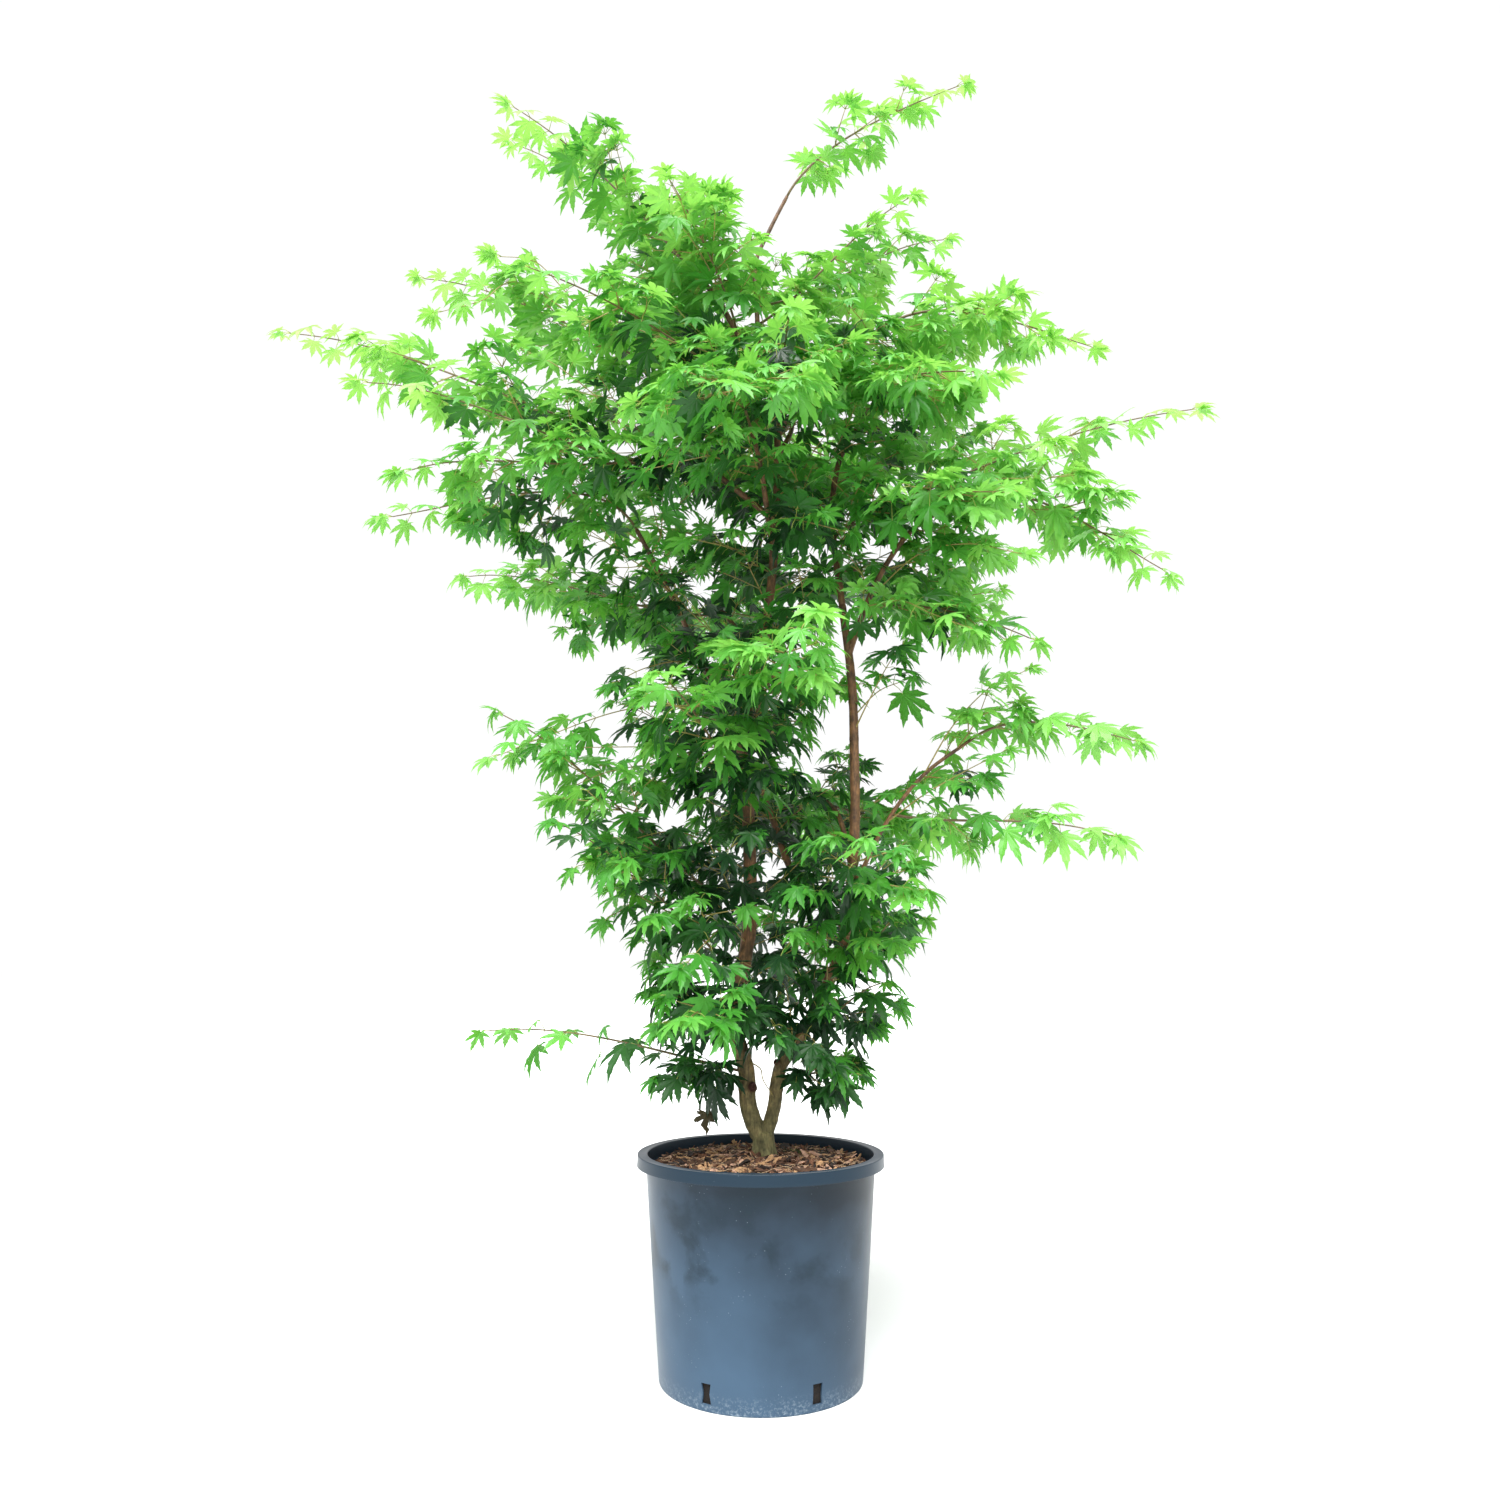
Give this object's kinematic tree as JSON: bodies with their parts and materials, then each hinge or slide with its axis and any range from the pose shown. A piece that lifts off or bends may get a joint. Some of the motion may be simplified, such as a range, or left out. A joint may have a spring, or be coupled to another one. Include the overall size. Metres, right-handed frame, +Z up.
{
  "type": "potted japanese maple",
  "caption": "Young japanese maple in a round nursery pot: a low forked trunk, slender upright stems and boughs, and open drooping sprays of lobed leaves.",
  "frame": {"origin": "middle of the pot's flat underside, on the ground", "axes": "+Z up along the pot's axis, +X to the right of the tree's front, -Y towards its front"},
  "size_m": [1.5614, 1.1082, 2.1113],
  "materials": {
    "pot_plastic": "satin",
    "mulch": "matte",
    "bark": "satin",
    "leaves": "satin"
  },
  "bodies": {
    "root": {"pot": "pot_plastic", "mulch": "mulch", "trunk": "bark", "left_stem": "bark", "right_stem": "bark", "back_high_bough": "bark", "back_low_bough": "bark", "back_mid_bough": "bark", "diagonal_bough": "bark", "front_high_bough": "bark", "leader": "bark", "left_high_bough": "bark", "right_high_bough": "bark", "right_leader": "bark", "right_low_bough": "bark", "right_mid_bough": "bark", "upper_leader": "bark", "back_left_high": "leaves", "back_left_low": "leaves", "back_left_mid": "leaves", "back_low": "leaves", "back_mid": "leaves", "back_right_high": "leaves", "back_right_low": "leaves", "back_right_mid": "leaves", "far_left": "leaves", "far_right": "leaves", "foot_left": "leaves", "foot_right": "leaves", "front_high": "leaves", "front_left": "leaves", "front_left_high": "leaves", "front_left_low": "leaves", "front_low": "leaves", "front_mid": "leaves", "front_right_high": "leaves", "front_right_mid": "leaves", "front_upper": "leaves", "low_front": "leaves", "low_left": "leaves", "low_left_inner": "leaves", "low_right": "leaves", "low_right_inner": "leaves", "low_shoot": "leaves", "lower_left": "leaves", "mid_left": "leaves", "outer_left": "leaves", "right_inner": "leaves", "right_low": "leaves", "right_mid": "leaves", "right_mid_low": "leaves", "top_back": "leaves", "top_front": "leaves", "top_left": "leaves", "top_left_back": "leaves", "top_right": "leaves", "top_right_inner": "leaves", "upper_left": "leaves", "upper_right": "leaves", "upper_right_back": "leaves"}
  },
  "joints": []
}
